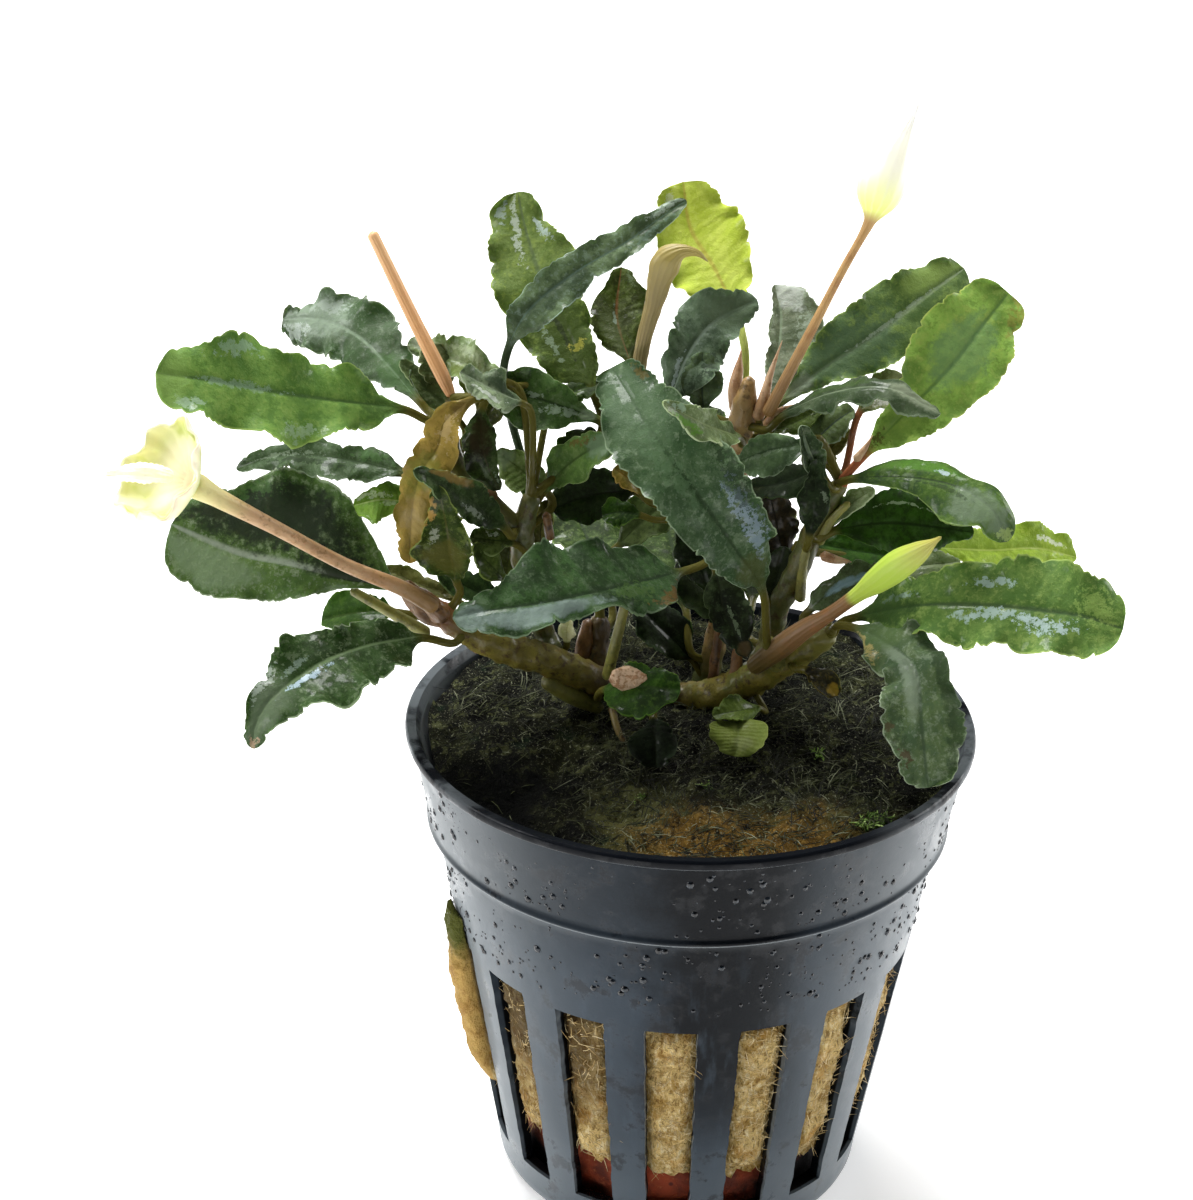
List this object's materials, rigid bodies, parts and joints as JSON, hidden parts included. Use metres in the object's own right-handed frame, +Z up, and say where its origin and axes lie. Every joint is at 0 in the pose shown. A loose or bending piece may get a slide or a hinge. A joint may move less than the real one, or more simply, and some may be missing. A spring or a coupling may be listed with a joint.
{
  "type": "potted aquarium plant",
  "caption": "Small aquatic plant with wavy dark green leaves and pale flowers, rooted in rock wool inside a slotted net pot.",
  "frame": {"origin": "centre of the pot's base, on the surface that the pot stands on", "axes": "+Z up, -Y towards the side that the picture shows, +X to the right in it"},
  "size_m": [0.0816, 0.0511, 0.0983],
  "materials": {
    "pot": "satin",
    "clay": "matte",
    "wool": "matte",
    "stem": "satin",
    "stalk": "satin",
    "withered": "satin",
    "flower": "satin",
    "bud": "satin",
    "scrap": "matte",
    "leaf_green": "satin",
    "leaf_dark": "satin",
    "leaf_grey": "satin",
    "leaf_bright": "satin",
    "leaf_yellow": "satin"
  },
  "bodies": {
    "root": {"net_pot": "pot", "clay_weight": "clay", "rockwool_plug": "wool", "rhizome_left": "stem", "rhizome_right": "stem", "stem_mid_left": "stem", "stem_mid_left_branch": "stem", "stem_right_mid": "stem", "stem_top": "stem", "flower_stalk_bare": "stalk", "flower_old_center": "withered", "flower_right": "flower", "flower_bud_right": "bud", "spadix_left": "flower", "flower_left": "flower", "leaf_scrap": "scrap", "leaf_center_large": "leaf_green", "leaf_front_left": "leaf_green", "leaf_front_round": "leaf_green", "leaf_front_hanging": "leaf_dark", "leaf_front_pale": "leaf_yellow", "leaf_front_small_right": "leaf_dark", "leaf_right_drooping": "leaf_grey", "leaf_right_large": "leaf_green", "leaf_left_lower": "leaf_green", "leaf_left_large_dark": "leaf_dark", "leaf_left_curled": "leaf_dark", "leaf_left_withered": "withered", "leaf_left_long_bright": "leaf_bright", "leaf_left_toothed": "leaf_grey", "leaf_left_narrow": "leaf_green", "leaf_left_small": "leaf_green", "leaf_left_small_lower": "leaf_dark", "leaf_left_inner_long": "leaf_dark", "leaf_left_inner_drooping": "leaf_dark", "leaf_left_upper_toothed": "leaf_grey", "leaf_center_small_pale": "leaf_yellow", "leaf_center_dark_small": "leaf_dark", "leaf_center_narrow": "leaf_dark", "leaf_center_pointing_down": "leaf_dark", "leaf_right_arching": "leaf_dark", "leaf_right_dark": "leaf_dark", "leaf_right_yellow": "leaf_yellow", "leaf_right_behind_bud": "leaf_dark", "leaf_top_bright": "leaf_bright", "leaf_top_narrow_grey": "leaf_grey", "leaf_top_large_dark": "leaf_green", "leaf_top_twisted": "leaf_dark", "leaf_top_grey_right": "leaf_grey", "leaf_top_center_grey": "leaf_dark", "leaf_top_dark": "leaf_dark", "leaf_top_left_olive": "leaf_green", "leaf_top_yellow": "leaf_yellow", "leaf_inner_left_upper": "leaf_dark", "leaf_inner_left_middle": "leaf_green", "leaf_inner_left_rising": "leaf_green", "leaf_back_left": "leaf_green", "leaf_back_middle": "leaf_dark", "leaf_back_right": "leaf_green", "leaf_back_high": "leaf_green"}
  },
  "joints": []
}
